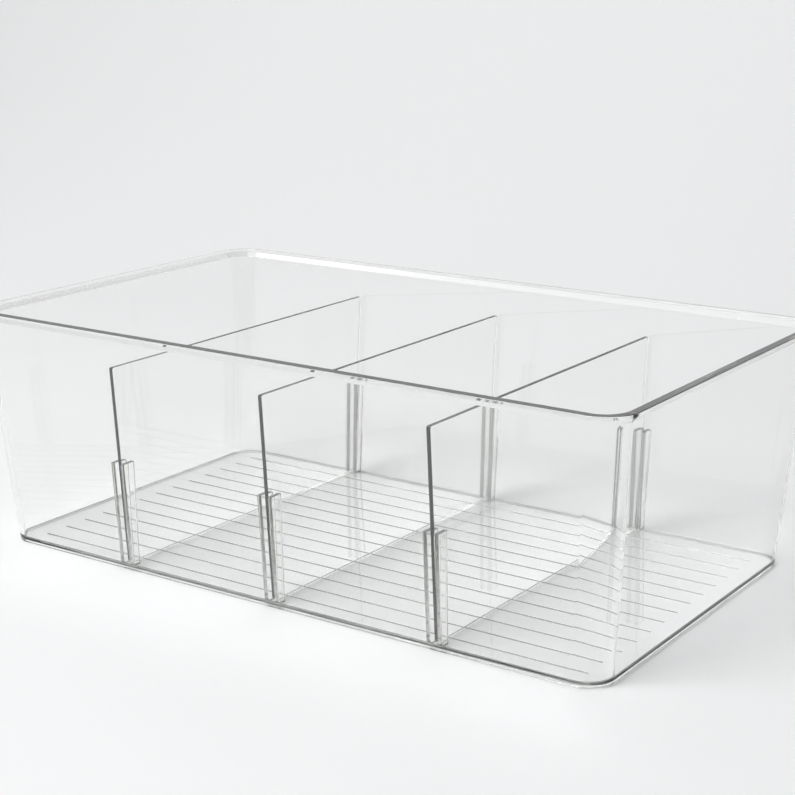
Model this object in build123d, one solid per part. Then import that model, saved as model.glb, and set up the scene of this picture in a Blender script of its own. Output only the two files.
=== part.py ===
from build123d import *
from math import radians, tan
import os

os.makedirs("parts", exist_ok=True)

# Clear storage bin with three dividers that lift out.
# Millimetres, +Z up. The origin is the middle of the underside.
# X runs along the bin, and one long wall, the front, faces -Y.

# Bin walls and floor
rim_length = 320.0
rim_width = 190.0
bin_height = 105.8
wall_thickness = 1.8
floor_thickness = 1.0
wall_draft = 4.4  # degrees that each wall leans outward
corner_radius = 12.0  # outside of the four upright corners
floor_round = 1.2  # inside, where the walls meet the floor

# Foot, the ring under the walls that the bin stands on
foot_height = 0.9  # how far the floor is raised inside the ring
foot_width = 2.4
foot_round = 0.3

# Rim, a solid lip round the top of the walls
rim_overhang = 2.0
rim_edge = 1.4  # height of the lip's upright edge
rim_slope = 45.0  # degrees from upright, from that edge back to the wall
rim_top_round = 0.4
rim_under_round = 0.3
rim_inner_round = 0.3

# Raised ribs along the floor
rib_pitch = 12.0
rib_width = 0.9
rib_height = 0.3
rib_round = 0.25
rib_shift = 1.6  # how far the row sits in front of the middle
rib_wall_gap = 8.0  # least gap between an outermost rib and the long wall
rib_left_gap = 12.2  # from the ribs' ends to the short walls
rib_right_gap = 8.7

# Dividers, from left to right
divider_names = ("divider_left", "divider_middle", "divider_right")
divider_pitch = 78.7
divider_thickness = 1.8
divider_drop = 15.8  # from the top of the rim down to the dividers
divider_top_radius = 0.8
divider_foot_radius = 1.5
divider_edge_round = 0.3

# Guides, pairs of upright ribs on the long walls that hold the dividers
guide_top = 48.0  # height above the underside
guide_rib = 2.0  # thickness of one upright rib, along the bin
guide_reach = 4.4  # how far a rib stands out from the wall, at the floor
guide_draft = 1.6  # degrees that the ribs' tips lean outward
guide_round = 0.5

# Clearances of a divider in the bin
slot_gap = 0.7  # each side, in its slot
end_gap = 1.35  # each end, from the long wall
seat_gap = 0.2  # above the floor ribs

floor_top = foot_height + floor_thickness
floor_middle = foot_height + floor_thickness / 2
slot_width = divider_thickness + 2 * slot_gap
divider_top = bin_height - divider_drop
divider_foot = floor_top + rib_height + seat_gap
divider_x = [divider_pitch * (i - (len(divider_names) - 1) / 2) for i in range(len(divider_names))]


def lean(z):
    """How far a wall at height z is in from where it meets the top of the rim."""
    return (bin_height - z) * tan(radians(wall_draft))


def half_length(z, inset=0.0):
    """Half the bin's length at height z, from the outside of the walls less an inset."""
    return rim_length / 2 - rim_overhang - lean(z) - inset


def half_width(z, inset=0.0):
    """Half the bin's width at height z, from the outside of the walls less an inset."""
    return rim_width / 2 - rim_overhang - lean(z) - inset


def lowest_edges(solid):
    return solid.faces().sort_by(Axis.Z)[0].edges()


def highest_edges(solid):
    return solid.faces().sort_by(Axis.Z)[-1].edges()


def drafted_block(low, high, inset, lower_round):
    """Solid that widens upward with the walls, with round corners and a round lower edge."""
    outline = Rectangle(2 * half_length(low, inset), 2 * half_width(low, inset))
    block = extrude(Pos(0, 0, low) * outline, amount=high - low, taper=-wall_draft)
    corners = [edge for edge in block.edges() if abs(edge.tangent_at(0.5).Z) > 0.5]
    block = fillet(corners, corner_radius - inset)
    return fillet(lowest_edges(block), lower_round)


def rim_outline(inset):
    """Outside of the rim less an inset."""
    radius = corner_radius + rim_overhang - inset
    return RectangleRounded(rim_length - 2 * inset, rim_width - 2 * inset, radius)


def rim_lip():
    """Lip with a sloped underside that runs in to the middle of the walls, before the cavity is cut."""
    inset = rim_overhang + wall_thickness / 2
    drop = inset / tan(radians(rim_slope))
    edge_foot = bin_height - rim_edge
    edge = extrude(Pos(0, 0, edge_foot) * rim_outline(0), amount=rim_edge)
    slope = loft([Pos(0, 0, edge_foot - drop) * rim_outline(inset), Pos(0, 0, edge_foot) * rim_outline(0)])
    lip = edge + slope
    lip = fillet(highest_edges(lip), rim_top_round)
    return fillet(lip.edges().filter_by_position(Axis.Z, edge_foot, edge_foot), rim_under_round)


def foot_recess():
    """Shallow block cut from the underside, so that the bin stands on a ring under its walls."""
    radius = corner_radius - foot_width
    outline = RectangleRounded(2 * half_length(0, foot_width), 2 * half_width(0, foot_width), radius)
    return extrude(outline, amount=foot_height)


def walls_and_floor():
    """Open shell with its rim."""
    outside = drafted_block(0, bin_height, 0, foot_round)
    cavity = drafted_block(floor_top, bin_height + rim_edge, wall_thickness, floor_round)
    shell = outside + rim_lip() - cavity - foot_recess()
    mouth = shell.faces().sort_by(Axis.Z)[-1].inner_wires()[0]
    return fillet(mouth.edges(), rim_inner_round)


def guide_tip(z):
    """Distance of a guide's tip from the bin's middle plane at height z."""
    at_floor = half_width(floor_top, wall_thickness) - guide_reach
    return at_floor + (z - floor_top) * tan(radians(guide_draft))


def guide_upright(x, side):
    """One upright rib of a guide, rooted in the middle of the wall and of the floor."""
    outline = Polyline(
        (guide_tip(floor_middle), floor_middle),
        (half_width(floor_middle, wall_thickness / 2), floor_middle),
        (half_width(guide_top, wall_thickness / 2), guide_top),
        (guide_tip(guide_top), guide_top),
        close=True,
    )
    upright = extrude(Plane.YZ * make_face(outline), amount=guide_rib / 2, both=True)
    tip = upright.faces().sort_by(Axis.Y)[0]
    long_edges = tip.edges().sort_by(Edge.length)[-2:]
    upright = Pos(x, 0, 0) * fillet(long_edges, guide_round)
    return upright if side > 0 else mirror(upright, Plane.XZ)


def guides():
    """A pair of uprights on both long walls at each divider."""
    offset = (slot_width + guide_rib) / 2
    return [
        guide_upright(x + hand * offset, side)
        for x in divider_x
        for hand in (-1, 1)
        for side in (-1, 1)
    ]


def floor_ribs():
    """Row of low ribs along the bin, rooted in the middle of the floor."""
    reach = half_length(floor_top, wall_thickness)
    left = -reach + rib_left_gap
    right = reach - rib_right_gap
    span = 2 * (half_width(floor_top, wall_thickness) - rib_wall_gap - rib_shift) - rib_width
    count = int(span / rib_pitch) + 1
    outline = SlotOverall(right - left, rib_width)
    rib = extrude(outline, amount=floor_top + rib_height - floor_middle)
    rib = fillet(highest_edges(rib), rib_round)
    place = Pos((left + right) / 2, -rib_shift, floor_middle)
    rows = GridLocations(0, rib_pitch, 1, count)
    return [place * row * rib for row in rows]


def divider():
    """Flat plate that follows the lean of the long walls, at the bin's middle."""
    foot = half_width(divider_foot, wall_thickness) - end_gap
    top = half_width(divider_top, wall_thickness) - end_gap
    outline = Polyline(
        (-foot, divider_foot),
        (foot, divider_foot),
        (top, divider_top),
        (-top, divider_top),
        close=True,
    )
    face = make_face(outline)
    face = fillet(face.vertices().sort_by(Axis.Y)[:2], divider_foot_radius)
    face = fillet(face.vertices().sort_by(Axis.Y)[-2:], divider_top_radius)
    plate = extrude(Plane.YZ * face, amount=divider_thickness / 2, both=True)
    sides = plate.faces().filter_by(Axis.X)
    return fillet(sides.edges(), divider_edge_round)


bin_body = walls_and_floor() + guides() + floor_ribs()
export_step(bin_body, "parts/bin_body.step")

plate = divider()
for name, x in zip(divider_names, divider_x):
    export_step(Pos(x, 0, 0) * plate, f"parts/{name}.step")
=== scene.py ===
from math import acos, atan2, cos, pi, radians, sin, tan

import bmesh
import bpy
from mathutils import Matrix, Vector

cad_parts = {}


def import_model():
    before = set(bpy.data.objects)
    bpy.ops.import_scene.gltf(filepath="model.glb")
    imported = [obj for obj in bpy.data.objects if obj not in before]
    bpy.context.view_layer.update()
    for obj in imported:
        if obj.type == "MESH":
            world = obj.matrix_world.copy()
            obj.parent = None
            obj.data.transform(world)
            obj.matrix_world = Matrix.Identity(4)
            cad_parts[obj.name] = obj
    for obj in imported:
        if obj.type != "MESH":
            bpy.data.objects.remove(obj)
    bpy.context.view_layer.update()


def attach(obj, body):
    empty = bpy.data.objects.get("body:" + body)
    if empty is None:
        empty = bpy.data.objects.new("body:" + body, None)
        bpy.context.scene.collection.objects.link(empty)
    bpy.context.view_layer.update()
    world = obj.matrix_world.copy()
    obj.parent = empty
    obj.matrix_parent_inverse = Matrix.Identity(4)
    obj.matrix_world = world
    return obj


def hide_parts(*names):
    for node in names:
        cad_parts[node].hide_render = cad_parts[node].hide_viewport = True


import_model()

# Camera, fitted to the straight edges of the rim, base, floor ribs and dividers
IMAGE_SIZE = 795  # pixels, both ways
SENSOR = 36.0  # millimetres
FOCAL_PIXELS = 1761.4
CAMERA_PLACE = Vector((0.41864, -0.60810, 0.26530))
CAMERA_AZIMUTH = radians(34.268)
CAMERA_ELEVATION = radians(14.867)
CAMERA_ROLL = radians(0.019)
CLIP_START = 0.01  # metres
CLIP_END = 30.0

# Studio, in metres and watts
FLOOR_DROP = 0.0001  # keeps the floor just clear of the underside
FLOOR_FRONT = -2.5
FLOOR_BACK = 0.35
FLOOR_HALF_WIDTH = 4.0
COVE_RADIUS = 0.6
COVE_STEPS = 24
BACKDROP_HEIGHT = 3.0
PAPER = (0.93, 0.935, 0.94)
PAPER_ROUGHNESS = 0.6
WORLD = 0.32
LIGHT_TARGET = Vector((0, 0, 0.05))
FRONT_POWER = 19.0
FRONT_PLACE = (-0.4, -1.1, 1.5)
FRONT_SIZE = 0.8
SIDE_POWER = 8.0
SIDE_PLACE = (-1.0, -0.4, 1.77)
SIDE_SIZE = 1.65
LIGHT_BOUNCES = 32
GLOSSY_BOUNCES = 16

# Plastics, with densities per metre and roughness as a pair, for clean and for scuffed spots
IOR = 1.53
TINT = (0.80, 0.81, 0.785)
BIN_DENSITY = 45.0
GUIDE_DENSITY = 2.0
DIVIDER_DENSITY = 30.0
POLISHED = (0.0, 0.05)
SATIN = (0.04, 0.09)
FLOW_SCALE = (70.0, 70.0, 6.0)  # waves left by the moulding flow, drawn out upright
FLOW_DETAIL = 1.0
FLOW_STRENGTH = 0.15
FLOW_DEPTH = 0.0001
SCUFF_SCALE = 260.0
SCUFF_DETAIL = 4.0
SCUFF_LEVELS = (0.5, 0.8)  # noise at which scuffs begin, and at which they are full

# Bin, in millimetres
MM = 0.001
LENGTH = 320.0
WIDTH = 190.0
HEIGHT = 105.8
WALL = 1.8
DRAFT = tan(radians(4.4))  # how far a wall leans outward for each millimetre up
CORNER = 12.0
FLOOR_TOP = 1.9
FLOOR_ROUND = 1.2
FOOT_HEIGHT = 0.9
FOOT_WIDTH = 2.4
FOOT_ROUND = 0.3
FOOT_INNER_ROUND = 0.2
OVERHANG = 2.0
RIM_EDGE = 1.4
RIM_ROOT = (RIM_EDGE + OVERHANG) / (1 - DRAFT)  # depth at which the rim's 45 degree slope meets the wall
RIM_ROOT_ROUND = 0.3
RIM_UNDER_ROUND = 0.3
RIM_TOP_ROUND = 0.4
RIM_INNER_ROUND = 0.3
FLAT_STRIP = 6.0  # flat part of floor and underside that the swept wall takes along
CORNER_STEPS = 24
ROUND_STEPS = 6
EDGE_STEPS = 3  # round the edges of ribs and dividers
SHARP_ANGLE = radians(35)
SINK = 0.5  # how far guides and ribs reach into the floor

# Floor ribs
RIB_COUNT = 13
RIB_PITCH = 12.0
RIB_WIDTH = 0.9
RIB_HEIGHT = 0.3
RIB_ROUND = 0.25
RIB_SHIFT = 1.6
RIB_LEFT_GAP = 12.2
RIB_RIGHT_GAP = 8.7
RIB_STEPS = 8

# Dividers and their guides
DIVIDER_NAMES = ("left", "middle", "right")
DIVIDER_X = (-78.7, 0.0, 78.7)
DIVIDER_THICKNESS = 1.8
DIVIDER_TOP = 90.0
SEAT_GAP = 0.2  # between the floor ribs and a divider
DIVIDER_FOOT = FLOOR_TOP + RIB_HEIGHT + SEAT_GAP
DIVIDER_TOP_RADIUS = 0.8
DIVIDER_FOOT_RADIUS = 1.5
DIVIDER_ROUND = 0.3
END_GAP = 1.35
SLOT_GAP = 0.7
GUIDE_TOP = 48.0
GUIDE_RIB = 2.0
GUIDE_REACH = 4.4
GUIDE_DRAFT = tan(radians(1.6))
GUIDE_ROUND = 0.5


def wall_inset(z):
    """How far the outside of a wall at height z is in from the rim's outside."""
    return OVERHANG + (HEIGHT - z) * DRAFT


def half_width(z, inset):
    """Half the bin's width at height z, in from the outside of the walls by an inset."""
    return WIDTH / 2 - wall_inset(z) - inset


def half_length(z, inset):
    """Half the bin's length at height z, in from the outside of the walls by an inset."""
    return LENGTH / 2 - wall_inset(z) - inset


def rounded(corners):
    """Points of an open line whose corners, given as (across, up, radius), are rounded."""
    points = [Vector(corners[0][:2])]
    for before, corner, after in zip(corners, corners[1:], corners[2:]):
        tip = Vector(corner[:2])
        radius = corner[2]
        to_before = (Vector(before[:2]) - tip).normalized()
        to_after = (Vector(after[:2]) - tip).normalized()
        half = acos(to_before.dot(to_after)) / 2
        middle = tip + (to_before + to_after).normalized() * radius / sin(half)
        start = tip + to_before * radius / tan(half) - middle
        end = tip + to_after * radius / tan(half) - middle
        turn = atan2(start.cross(end), start.dot(end))
        for step in range(ROUND_STEPS + 1):
            points.append(middle + Matrix.Rotation(turn * step / ROUND_STEPS, 2) @ start)
    points.append(Vector(corners[-1][:2]))
    return points


def quarter_turns():
    """Angles of the steps round a quarter circle."""
    return [step / EDGE_STEPS * pi / 2 for step in range(EDGE_STEPS + 1)]


def stack(name, rings):
    """Closed mesh through rings of points, capped at both ends."""
    built = bmesh.new()
    rows = [[built.verts.new(Vector(point) * MM) for point in ring] for ring in rings]
    for low, high in zip(rows, rows[1:]):
        for i in range(len(low)):
            j = (i + 1) % len(low)
            built.faces.new((low[i], low[j], high[j], high[i]))
    built.faces.new(list(reversed(rows[0])))
    built.faces.new(rows[-1])
    bmesh.ops.recalc_face_normals(built, faces=built.faces)
    mesh = bpy.data.meshes.new(name)
    built.to_mesh(mesh)
    built.free()
    obj = bpy.data.objects.new(name, mesh)
    bpy.context.scene.collection.objects.link(obj)
    return obj


def round_rectangle(inset, z):
    """Ring round the bin at height z, in from the rim's outside by an inset."""
    radius = CORNER - inset + wall_inset(z)
    points = []
    for quarter, (side_x, side_y) in enumerate(((1, 1), (-1, 1), (-1, -1), (1, -1))):
        x = side_x * (LENGTH / 2 - inset - radius)
        y = side_y * (WIDTH / 2 - inset - radius)
        for step in range(CORNER_STEPS + 1):
            turn = (quarter + step / CORNER_STEPS) * pi / 2
            points.append((x + radius * cos(turn), y + radius * sin(turn), z))
    return points


def shell():
    """Walls, rim, foot and floor, as one profile swept round the bin."""
    foot = wall_inset(0)
    floor = wall_inset(FLOOR_TOP) + WALL
    line = rounded([
        (foot + FOOT_WIDTH + FLAT_STRIP, FOOT_HEIGHT, 0),
        (foot + FOOT_WIDTH, FOOT_HEIGHT, FOOT_INNER_ROUND),
        (foot + FOOT_WIDTH, 0, FOOT_INNER_ROUND),
        (foot, 0, FOOT_ROUND),
        (wall_inset(HEIGHT - RIM_ROOT), HEIGHT - RIM_ROOT, RIM_ROOT_ROUND),
        (0, HEIGHT - RIM_EDGE, RIM_UNDER_ROUND),
        (0, HEIGHT, RIM_TOP_ROUND),
        (OVERHANG + WALL, HEIGHT, RIM_INNER_ROUND),
        (floor, FLOOR_TOP, FLOOR_ROUND),
        (floor + FLAT_STRIP, FLOOR_TOP, 0),
    ])
    return stack("bin", [round_rectangle(inset, z) for inset, z in line])


def guide(x, side):
    """One upright of a guide, on the long wall at this side."""
    half = GUIDE_RIB / 2

    def ring(z):
        tip = half_width(FLOOR_TOP, WALL) - GUIDE_REACH + (z - FLOOR_TOP) * GUIDE_DRAFT
        root = half_width(z, WALL / 2)
        line = rounded([
            (-half, root, 0),
            (-half, tip, GUIDE_ROUND),
            (half, tip, GUIDE_ROUND),
            (half, root, 0),
        ])
        return [(x + across, side * along, z) for across, along in line]

    return stack("guide", [ring(FLOOR_TOP - SINK), ring(GUIDE_TOP)])


def rib(y):
    """One floor rib with round ends and round upper edges."""
    reach = half_length(FLOOR_TOP, WALL)
    left = -reach + RIB_LEFT_GAP + RIB_WIDTH / 2
    right = reach - RIB_RIGHT_GAP - RIB_WIDTH / 2

    def ring(inset, z):
        radius = RIB_WIDTH / 2 - inset
        points = []
        for end, x in ((1, right), (-1, left)):
            for step in range(RIB_STEPS + 1):
                turn = (step / RIB_STEPS - 0.5) * pi
                points.append((x + end * radius * cos(turn), y + end * radius * sin(turn), z))
        return points

    low = FLOOR_TOP + RIB_HEIGHT - RIB_ROUND
    rings = [ring(0, FLOOR_TOP - SINK)]
    rings += [ring(RIB_ROUND * (1 - cos(turn)), low + RIB_ROUND * sin(turn)) for turn in quarter_turns()]
    return stack("rib", rings)


def divider(name, x):
    """Flat plate with round edges that follows the lean of the long walls."""
    half = DIVIDER_THICKNESS / 2

    def ring(inset, across):
        foot = half_width(DIVIDER_FOOT, WALL) - END_GAP - inset
        top = half_width(DIVIDER_TOP, WALL) - END_GAP - inset
        low = DIVIDER_FOOT + inset
        high = DIVIDER_TOP - inset
        line = rounded([
            (0, low, 0),
            (foot, low, DIVIDER_FOOT_RADIUS),
            (top, high, DIVIDER_TOP_RADIUS),
            (-top, high, DIVIDER_TOP_RADIUS),
            (-foot, low, DIVIDER_FOOT_RADIUS),
            (0, low, 0),
        ])
        return [(x + across, y, z) for y, z in line[:-1]]

    turns = quarter_turns()
    rings = [ring(DIVIDER_ROUND * (1 - sin(turn)), DIVIDER_ROUND * (1 - cos(turn)) - half) for turn in turns]
    rings += [ring(DIVIDER_ROUND * (1 - cos(turn)), half - DIVIDER_ROUND * (1 - sin(turn))) for turn in turns]
    return stack(name, rings)


def shade(obj):
    """Even shading over the flat and rounded faces."""
    obj.data.shade_smooth()
    obj.data.set_sharp_from_angle(angle=SHARP_ANGLE)
    weigh = obj.modifiers.new("even_shading", "WEIGHTED_NORMAL")
    weigh.keep_sharp = True


def bin_piece(polished, satin):
    """The bin with its satin guides and its floor ribs moulded on."""
    body = shell()
    body.data.materials.append(polished)
    offset = DIVIDER_THICKNESS / 2 + SLOT_GAP + GUIDE_RIB / 2
    uprights = [guide(x + hand * offset, side) for x in DIVIDER_X for hand in (-1, 1) for side in (-1, 1)]
    ribs = [rib(RIB_PITCH * (i - (RIB_COUNT - 1) / 2) - RIB_SHIFT) for i in range(RIB_COUNT)]
    for upright in uprights:
        upright.data.materials.append(satin)
    for low_rib in ribs:
        low_rib.data.materials.append(polished)
    parts = uprights + ribs
    moulded = bpy.data.collections.new("moulded")
    bpy.context.scene.collection.children.link(moulded)
    for part in parts:
        bpy.context.scene.collection.objects.unlink(part)
        moulded.objects.link(part)
    join = body.modifiers.new("join", "BOOLEAN")
    join.operation = "UNION"
    join.solver = "EXACT"
    join.material_mode = "TRANSFER"
    join.operand_type = "COLLECTION"
    join.collection = moulded
    graph = bpy.context.evaluated_depsgraph_get()
    mesh = bpy.data.meshes.new_from_object(body.evaluated_get(graph))
    body.modifiers.clear()
    body.data = mesh
    for part in parts:
        bpy.data.objects.remove(part)
    bpy.data.collections.remove(moulded)
    return body


def new_material(name):
    material = bpy.data.materials.new(name)
    material.use_nodes = True
    return material, material.node_tree.nodes, material.node_tree.links


def clear_plastic(name, density, roughness):
    """Moulded plastic with faint upright flow waves, fine scuffs and a tint that shows in thick sections."""
    material, nodes, links = new_material(name)
    shader = nodes["Principled BSDF"]
    shader.inputs["Base Color"].default_value = (1.0, 1.0, 1.0, 1.0)
    shader.inputs["Transmission Weight"].default_value = 1.0
    shader.inputs["IOR"].default_value = IOR
    place = nodes.new("ShaderNodeTexCoord")
    stretch = nodes.new("ShaderNodeMapping")
    stretch.inputs["Scale"].default_value = FLOW_SCALE
    links.new(place.outputs["Object"], stretch.inputs["Vector"])
    flow = nodes.new("ShaderNodeTexNoise")
    flow.inputs["Scale"].default_value = 1.0
    flow.inputs["Detail"].default_value = FLOW_DETAIL
    links.new(stretch.outputs["Vector"], flow.inputs["Vector"])
    waves = nodes.new("ShaderNodeBump")
    waves.inputs["Strength"].default_value = FLOW_STRENGTH
    waves.inputs["Distance"].default_value = FLOW_DEPTH
    links.new(flow.outputs["Fac"], waves.inputs["Height"])
    links.new(waves.outputs["Normal"], shader.inputs["Normal"])
    scuffs = nodes.new("ShaderNodeTexNoise")
    scuffs.inputs["Scale"].default_value = SCUFF_SCALE
    scuffs.inputs["Detail"].default_value = SCUFF_DETAIL
    links.new(place.outputs["Object"], scuffs.inputs["Vector"])
    polish = nodes.new("ShaderNodeMapRange")
    polish.inputs["From Min"].default_value = SCUFF_LEVELS[0]
    polish.inputs["From Max"].default_value = SCUFF_LEVELS[1]
    polish.inputs["To Min"].default_value = roughness[0]
    polish.inputs["To Max"].default_value = roughness[1]
    links.new(scuffs.outputs["Fac"], polish.inputs["Value"])
    links.new(polish.outputs["Result"], shader.inputs["Roughness"])
    absorption = nodes.new("ShaderNodeVolumeAbsorption")
    absorption.inputs["Color"].default_value = (*TINT, 1.0)
    absorption.inputs["Density"].default_value = density
    links.new(absorption.outputs["Volume"], nodes["Material Output"].inputs["Volume"])
    return material


def backdrop():
    """One sheet: the floor, a cove behind it and an upright backdrop."""
    profile = [(FLOOR_FRONT, -FLOOR_DROP), (FLOOR_BACK, -FLOOR_DROP)]
    for step in range(1, COVE_STEPS + 1):
        turn = radians(90) * step / COVE_STEPS
        profile.append((FLOOR_BACK + COVE_RADIUS * sin(turn), COVE_RADIUS * (1 - cos(turn)) - FLOOR_DROP))
    profile.append((FLOOR_BACK + COVE_RADIUS, BACKDROP_HEIGHT))
    sheet = bmesh.new()
    rows = [[sheet.verts.new((side * FLOOR_HALF_WIDTH, y, z)) for side in (-1, 1)] for y, z in profile]
    for near, far in zip(rows, rows[1:]):
        sheet.faces.new((near[0], near[1], far[1], far[0]))
    mesh = bpy.data.meshes.new("backdrop")
    sheet.to_mesh(mesh)
    sheet.free()
    mesh.shade_smooth()
    obj = bpy.data.objects.new("backdrop", mesh)
    bpy.context.scene.collection.objects.link(obj)
    material, nodes, _ = new_material("backdrop_paper")
    shader = nodes["Principled BSDF"]
    shader.inputs["Base Color"].default_value = (*PAPER, 1.0)
    shader.inputs["Roughness"].default_value = PAPER_ROUGHNESS
    mesh.materials.append(material)


def softbox(name, place, size, power):
    """Square soft lamp that faces the bin."""
    lamp = bpy.data.lights.new(name, "AREA")
    lamp.shape = "RECTANGLE"
    lamp.size = size
    lamp.size_y = size
    lamp.energy = power
    obj = bpy.data.objects.new(name, lamp)
    obj.location = place
    obj.rotation_euler = (LIGHT_TARGET - Vector(place)).to_track_quat("-Z", "Y").to_euler()
    bpy.context.scene.collection.objects.link(obj)


def world():
    """Even pale surroundings."""
    scene_world = bpy.data.worlds.new("studio")
    scene_world.use_nodes = True
    background = scene_world.node_tree.nodes["Background"]
    background.inputs["Color"].default_value = (1.0, 1.0, 1.0, 1.0)
    background.inputs["Strength"].default_value = WORLD
    bpy.context.scene.world = scene_world


def camera():
    """Camera at the photograph's angle, from its place, azimuth, elevation and roll."""
    back = Vector((
        sin(CAMERA_AZIMUTH) * cos(CAMERA_ELEVATION),
        -cos(CAMERA_AZIMUTH) * cos(CAMERA_ELEVATION),
        sin(CAMERA_ELEVATION),
    ))
    right = Vector((0, 0, 1)).cross(back).normalized()
    up = back.cross(right)
    rolled_right = cos(CAMERA_ROLL) * right + sin(CAMERA_ROLL) * up
    rolled_up = -sin(CAMERA_ROLL) * right + cos(CAMERA_ROLL) * up
    data = bpy.data.cameras.new("camera")
    data.sensor_width = SENSOR
    data.lens = SENSOR * FOCAL_PIXELS / IMAGE_SIZE
    data.clip_start = CLIP_START
    data.clip_end = CLIP_END
    obj = bpy.data.objects.new("camera", data)
    turn = Matrix((rolled_right, rolled_up, back)).transposed()
    obj.matrix_world = Matrix.Translation(CAMERA_PLACE) @ turn.to_4x4()
    bpy.context.scene.collection.objects.link(obj)
    bpy.context.scene.camera = obj


bin_plastic = clear_plastic("bin_plastic_clear", BIN_DENSITY, POLISHED)
guide_plastic = clear_plastic("bin_plastic_satin", GUIDE_DENSITY, SATIN)
divider_plastic = clear_plastic("divider_plastic_clear", DIVIDER_DENSITY, POLISHED)

body = bin_piece(bin_plastic, guide_plastic)
shade(body)
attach(body, "bin")
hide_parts("bin_body")
for name, x in zip(DIVIDER_NAMES, DIVIDER_X):
    plate = divider(f"plate_{name}", x)
    plate.data.materials.append(divider_plastic)
    shade(plate)
    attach(plate, f"{name}_divider")
    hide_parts(f"divider_{name}")

backdrop()
world()
softbox("front_light", FRONT_PLACE, FRONT_SIZE, FRONT_POWER)
softbox("side_light", SIDE_PLACE, SIDE_SIZE, SIDE_POWER)
camera()

scene = bpy.context.scene
scene.view_settings.view_transform = "Standard"
scene.cycles.max_bounces = LIGHT_BOUNCES
scene.cycles.transmission_bounces = LIGHT_BOUNCES
scene.cycles.glossy_bounces = GLOSSY_BOUNCES
scene.cycles.blur_glossy = 0.0
